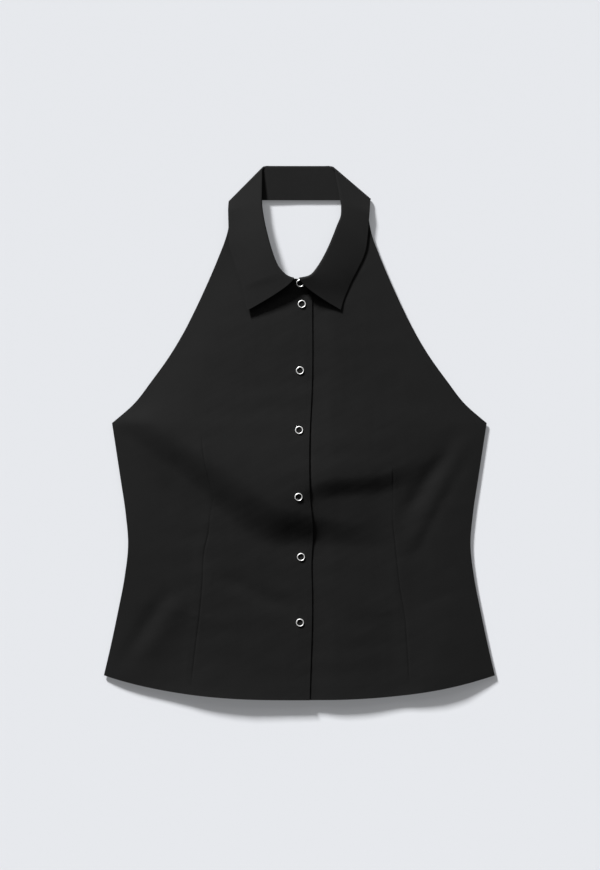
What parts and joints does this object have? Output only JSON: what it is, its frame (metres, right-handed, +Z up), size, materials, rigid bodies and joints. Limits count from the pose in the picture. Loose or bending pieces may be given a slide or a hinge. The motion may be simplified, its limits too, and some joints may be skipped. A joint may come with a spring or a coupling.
{
  "type": "halter neck top",
  "caption": "Sleeveless black woven halter neck top with a pointed shirt collar and a ring-snap front, lying flat with its front up.",
  "frame": {"origin": "on the surface it lies on, under the middle of the garment's bounding box", "axes": "+X towards the wearer's left (the viewer's right, seen from the front), +Y from the hem to the collar, +Z up out of the garment's front"},
  "size_m": [0.434, 0.5937, 0.0218],
  "materials": {
    "black_poplin": "matt black stretch cotton poplin, fine plain weave, black thread",
    "ring_steel": "bright nickel-plated open ring caps",
    "stud_steel": "dull plated snap studs, hidden between the placket's layers"
  },
  "bodies": {
    "root": {"front_right": "black_poplin", "front_left": "black_poplin", "back": "black_poplin", "collar_stand": "black_poplin", "collar_fall": "black_poplin", "snap_ring_1": "ring_steel", "snap_ring_2": "ring_steel", "snap_ring_3": "ring_steel", "snap_ring_4": "ring_steel", "snap_ring_5": "ring_steel", "snap_ring_6": "ring_steel", "snap_ring_7": "ring_steel", "snap_stud_1": "stud_steel", "snap_stud_2": "stud_steel", "snap_stud_3": "stud_steel", "snap_stud_4": "stud_steel", "snap_stud_5": "stud_steel", "snap_stud_6": "stud_steel", "snap_stud_7": "stud_steel"}
  },
  "joints": []
}
